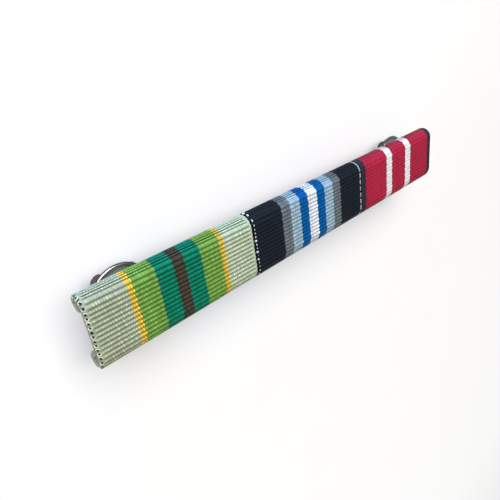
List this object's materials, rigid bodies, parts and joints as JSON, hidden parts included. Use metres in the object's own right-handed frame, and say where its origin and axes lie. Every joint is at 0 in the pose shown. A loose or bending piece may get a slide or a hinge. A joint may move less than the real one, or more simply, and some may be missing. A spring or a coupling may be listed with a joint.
{
  "type": "ribbon bar",
  "caption": "Long narrow bar wrapped in side-by-side striped woven ribbons with rounded edges, with pin posts and butterfly clutches behind.",
  "frame": {"origin": "under the middle of the bar, on the surface that the clutches' wings stand on", "axes": "+X along the bar towards the red ribbon, +Y up the bar's height as worn, +Z out of its face"},
  "size_m": [0.0958, 0.0131, 0.0122],
  "materials": {
    "plate_metal": "dull nickel plate",
    "ribbon_green": "ribbed weave, matte",
    "ribbon_blue": "ribbed weave, matte",
    "ribbon_red": "fine ribbed weave, slight sheen",
    "clutch_metal": "bright nickel plate",
    "spring_metal": "satin nickel plate"
  },
  "bodies": {
    "bar": {"bar_plate": "plate_metal", "ribbon_left": "ribbon_green", "ribbon_middle": "ribbon_blue", "ribbon_right": "ribbon_red"},
    "clutch_left": {"clutch_cap_left": "clutch_metal", "clutch_spring_left": "spring_metal"},
    "clutch_right": {"clutch_cap_right": "clutch_metal", "clutch_spring_right": "spring_metal"}
  },
  "joints": [
    {"name": "clutch_left_slide", "type": "slide", "parent": "bar", "child": "clutch_left", "axis": [0, 0, -1], "range_m": [-0.0028, 0.005]},
    {"name": "clutch_right_slide", "type": "slide", "parent": "bar", "child": "clutch_right", "axis": [0, 0, -1], "range_m": [-0.0028, 0.005]}
  ]
}
